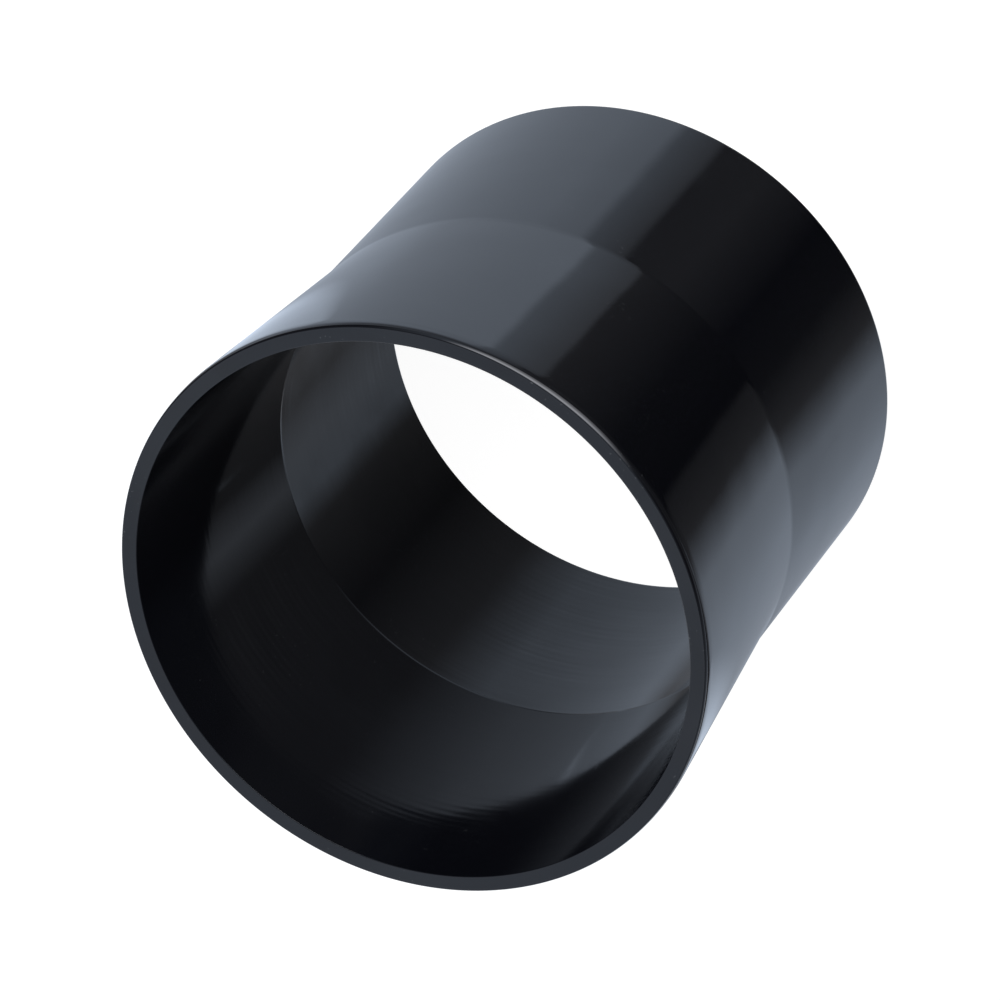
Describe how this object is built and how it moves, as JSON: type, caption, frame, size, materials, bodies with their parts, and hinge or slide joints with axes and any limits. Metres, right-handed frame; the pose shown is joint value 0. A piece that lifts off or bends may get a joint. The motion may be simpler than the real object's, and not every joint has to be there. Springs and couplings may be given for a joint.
{
  "type": "dust hose quick connect adapter",
  "caption": "Open plastic sleeve that joins a dust hose to a machine's dust port: a flared mouth wedges over the port and the straight end goes inside the hose.",
  "frame": {"origin": "centre of the hose end's flat rim, which is the bottom of the part as it stands", "axes": "+Z along the sleeve's axis, from the hose end towards the wide mouth; X and Y are equal, because the part is turned"},
  "size_m": [0.1116, 0.1116, 0.1039],
  "materials": {
    "black_plastic": "glossy moulded black, satin on the end faces"
  },
  "bodies": {
    "root": {"adapter_body": "black_plastic"}
  },
  "joints": []
}
